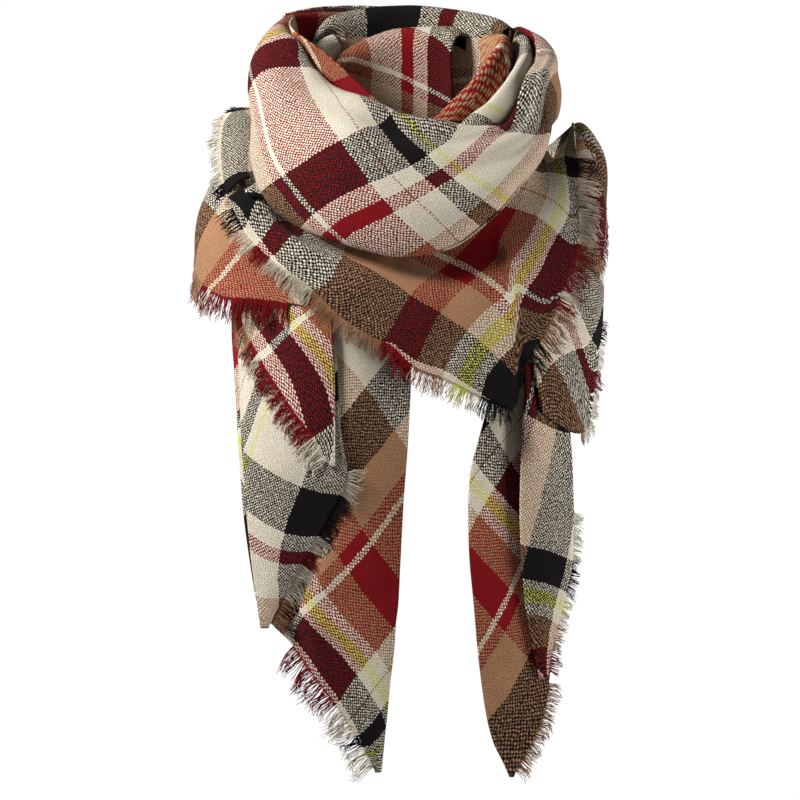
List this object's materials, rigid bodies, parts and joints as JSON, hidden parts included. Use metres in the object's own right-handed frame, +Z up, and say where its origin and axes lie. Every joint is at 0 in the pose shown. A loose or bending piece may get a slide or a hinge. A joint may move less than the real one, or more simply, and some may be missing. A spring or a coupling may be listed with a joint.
{
  "type": "tartan blanket scarf",
  "caption": "Square plaid blanket scarf with frayed edges, wound round the neck with a folded corner over the chest and two long ends hanging.",
  "frame": {"origin": "middle of the wearer's neck at its base, where the wound scarf is held up by the neck and shoulders", "axes": "+Z up along the neck, -Y towards the front where the folded corner hangs, +X to the right as seen from the front (the wearer's left)"},
  "size_m": [0.3844, 0.2601, 0.6912],
  "materials": {
    "bib": "folded corner over the chest, brushed plain weave plaid",
    "bib_under_left": "stretch under the bib on the left, brushed plain weave plaid",
    "bib_under_right": "stretch under the bib on the right, brushed plain weave plaid",
    "cowl_front": "front swag, brushed plain weave in pink, wine, black and cream plaid",
    "fringe_bib_left": "frayed yarn ends, soft and matt",
    "fringe_bib_right": "frayed yarn ends, soft and matt",
    "fringe_shoulder_left": "frayed yarn ends, soft and matt",
    "fringe_shoulder_right": "frayed yarn ends, soft and matt",
    "fringe_tail_left_back": "frayed yarn ends, soft and matt",
    "fringe_tail_left_flap": "frayed yarn ends, soft and matt",
    "fringe_tail_left_top": "frayed yarn ends, soft and matt",
    "fringe_tail_right_back": "frayed yarn ends, soft and matt",
    "fringe_tail_right_flap": "frayed yarn ends, soft and matt",
    "fringe_under_left": "frayed yarn ends, soft and matt",
    "fringe_under_right": "frayed yarn ends, soft and matt",
    "nape_wrap": "crossing at the nape, plain-woven, soft",
    "neck_back_band": "black and white check band at the back of the neck, soft",
    "neck_inner_wrap": "innermost turn round the neck, plain-woven, soft",
    "neck_left_fold": "fold inside the neck on the left, plain-woven, soft",
    "rim_turn_left": "turned rim of the front swag on the left, soft",
    "roll_right_inner": "roll inside the neck on the right, plain-woven, soft",
    "roll_right_middle": "cream roll inside the neck on the right, soft",
    "shoulder_left": "edge over the left shoulder, brushed plain weave plaid",
    "shoulder_right": "edge over the right shoulder, brushed plain weave plaid",
    "tail_left_back": "long left end, brushed plain weave plaid",
    "tail_left_flap": "upper layer of the left end, brushed plain weave plaid",
    "tail_left_top": "front layer of the left end, brushed plain weave plaid",
    "tail_right_back": "long right end, brushed plain weave plaid",
    "tail_right_flap": "upper layer of the right end, brushed plain weave plaid"
  },
  "bodies": {
    "root": {"bib": "bib", "bib_under_left": "bib_under_left", "bib_under_right": "bib_under_right", "cowl_front": "cowl_front", "fringe_bib_left": "fringe_bib_left", "fringe_bib_right": "fringe_bib_right", "fringe_shoulder_left": "fringe_shoulder_left", "fringe_shoulder_right": "fringe_shoulder_right", "fringe_tail_left_back": "fringe_tail_left_back", "fringe_tail_left_flap": "fringe_tail_left_flap", "fringe_tail_left_top": "fringe_tail_left_top", "fringe_tail_right_back": "fringe_tail_right_back", "fringe_tail_right_flap": "fringe_tail_right_flap", "fringe_under_left": "fringe_under_left", "fringe_under_right": "fringe_under_right", "nape_wrap": "nape_wrap", "neck_back_band": "neck_back_band", "neck_inner_wrap": "neck_inner_wrap", "neck_left_fold": "neck_left_fold", "rim_turn_left": "rim_turn_left", "roll_right_inner": "roll_right_inner", "roll_right_middle": "roll_right_middle", "shoulder_left": "shoulder_left", "shoulder_right": "shoulder_right", "tail_left_back": "tail_left_back", "tail_left_flap": "tail_left_flap", "tail_left_top": "tail_left_top", "tail_right_back": "tail_right_back", "tail_right_flap": "tail_right_flap"}
  },
  "joints": []
}
